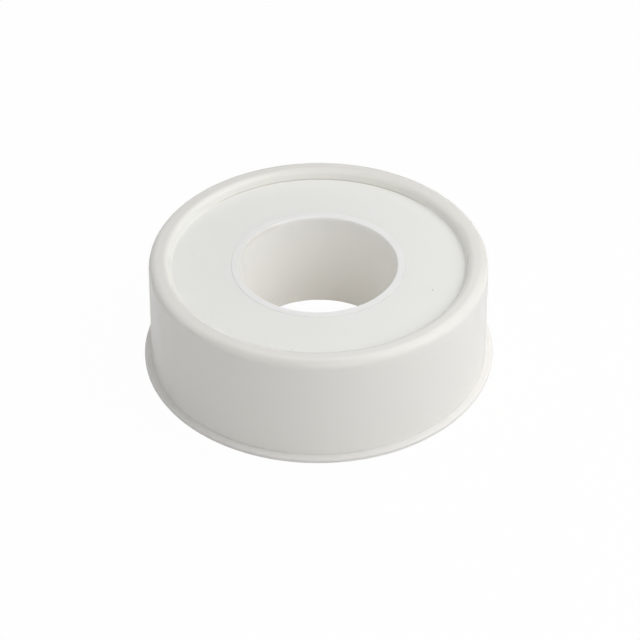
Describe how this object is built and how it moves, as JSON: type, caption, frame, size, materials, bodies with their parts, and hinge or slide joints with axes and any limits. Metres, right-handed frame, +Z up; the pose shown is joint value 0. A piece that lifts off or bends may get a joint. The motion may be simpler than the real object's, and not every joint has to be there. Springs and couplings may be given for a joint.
{
  "type": "thread seal tape roll",
  "caption": "Flat round roll of thread seal tape: a flanged spool with an open hub, the tape wound on it, and a cap-shaped cover with a sunk panel that pulls off along the axis.",
  "frame": {"origin": "on the bore's axis, at the underside of the base flange", "axes": "+Z up along the bore, from the base flange to the cover's rim; X and Y are equal"},
  "size_m": [0.05, 0.05, 0.0165],
  "materials": {
    "spool_plastic": "satin moulded white",
    "cover_plastic": "satin moulded white",
    "seal_tape": "soft matt white film"
  },
  "bodies": {
    "spool": {"spool": "spool_plastic", "tape_winding": "seal_tape"},
    "cover": {"cover": "cover_plastic"}
  },
  "joints": [
    {"name": "cover_lift", "type": "slide", "parent": "spool", "child": "cover", "axis": [0, 0, 1], "range_m": [0, 0.025]}
  ]
}
